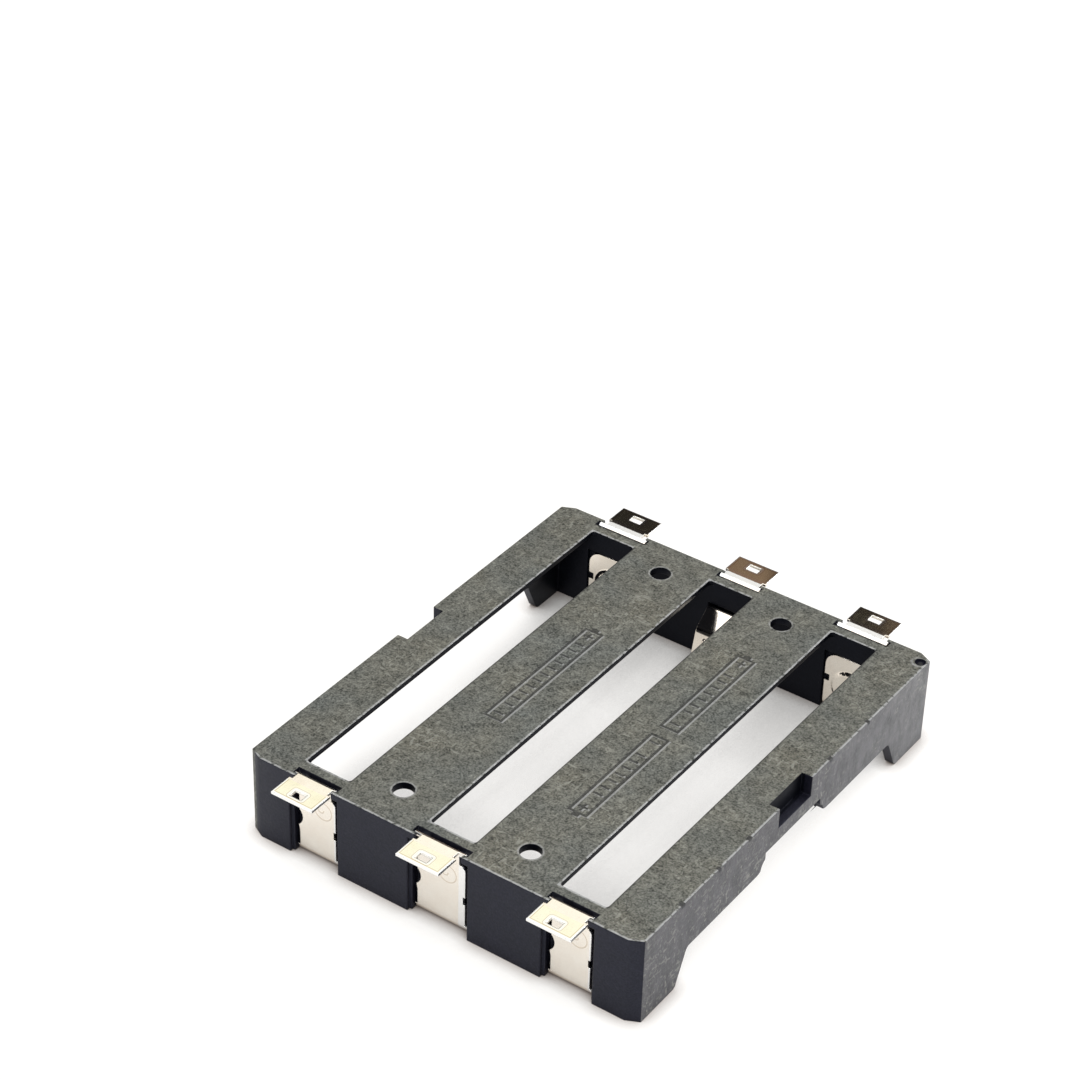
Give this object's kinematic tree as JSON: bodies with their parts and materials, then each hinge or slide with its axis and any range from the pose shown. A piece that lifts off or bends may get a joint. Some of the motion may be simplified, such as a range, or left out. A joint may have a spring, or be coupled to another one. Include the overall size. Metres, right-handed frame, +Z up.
{
  "type": "cylindrical cell holder",
  "caption": "Open plastic frame holding cylindrical cells side by side, with a folded contact at each end of every slot, for soldering and screwing to a board.",
  "frame": {"origin": "centre of the bounding box on the plane of the open rim that the holder lies on", "axes": "+Y along the cells, +X across the slots, +Z up to the solder face"},
  "size_m": [0.071, 0.0928, 0.0154],
  "materials": {
    "frame_plastic": "fine moulded grain, satin",
    "contact_nickel": "nickel plated, bright satin"
  },
  "bodies": {
    "root": {"holder_frame": "frame_plastic", "near_spring_contact_1": "contact_nickel", "near_ring_contact_2": "contact_nickel", "near_spring_contact_3": "contact_nickel", "far_ring_contact_1": "contact_nickel", "far_spring_contact_2": "contact_nickel", "far_ring_contact_3": "contact_nickel"}
  },
  "joints": []
}
